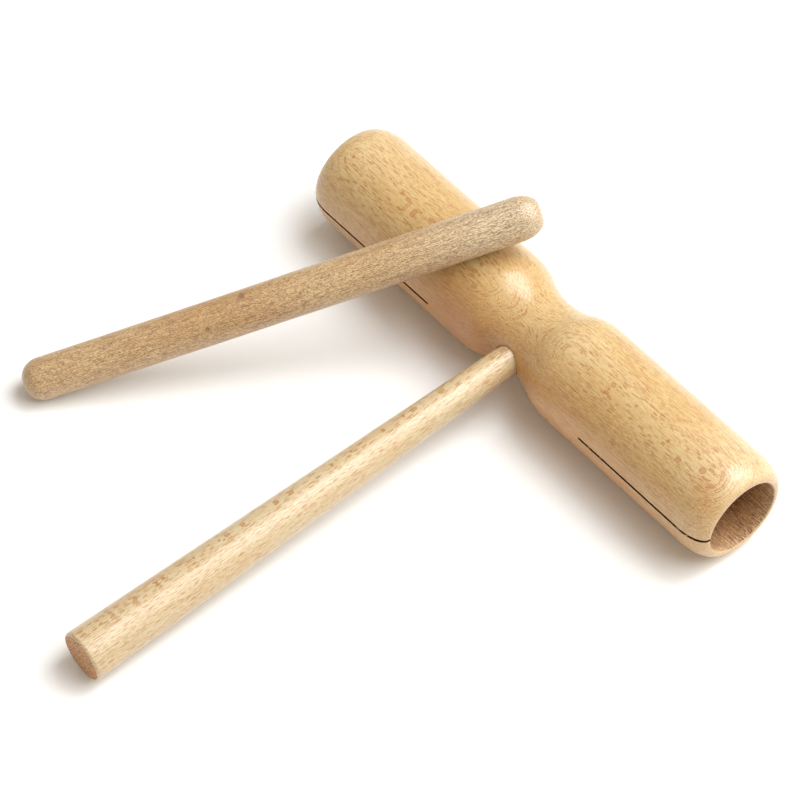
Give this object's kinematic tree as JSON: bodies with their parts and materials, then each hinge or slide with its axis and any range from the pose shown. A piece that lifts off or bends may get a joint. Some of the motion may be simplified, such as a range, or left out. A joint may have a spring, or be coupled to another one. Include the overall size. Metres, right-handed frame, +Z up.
{
  "type": "two-tone tubular wood block with beater",
  "caption": "Two-tone tubular wood block: bored, saw-slit tubes joined by a waist, on a tapered handle, with a loose round-ended beater leaning across it.",
  "frame": {"origin": "where the tubes' axis meets the handle's axis, in the middle of the waist", "axes": "+Z up as it lies on a table (the table is 20 mm below the origin); +X along the tubes' axis and out of the high-toned mouth; the handle runs towards -Y, drooping 3 degrees so that its butt touches the table"},
  "size_m": [0.2139, 0.2194, 0.0605],
  "materials": {
    "block_beech": "clear semi-gloss lacquer",
    "handle_beech": "clear semi-gloss lacquer",
    "beater_beech": "sanded, unfinished"
  },
  "bodies": {
    "block": {"sound_block": "block_beech", "handle": "handle_beech"},
    "beater": {"beater": "beater_beech"}
  },
  "joints": [
    {"name": "beater_lift", "type": "slide", "parent": "block", "child": "beater", "axis": [0, 0, 1], "range_m": [0, 0.07]}
  ]
}
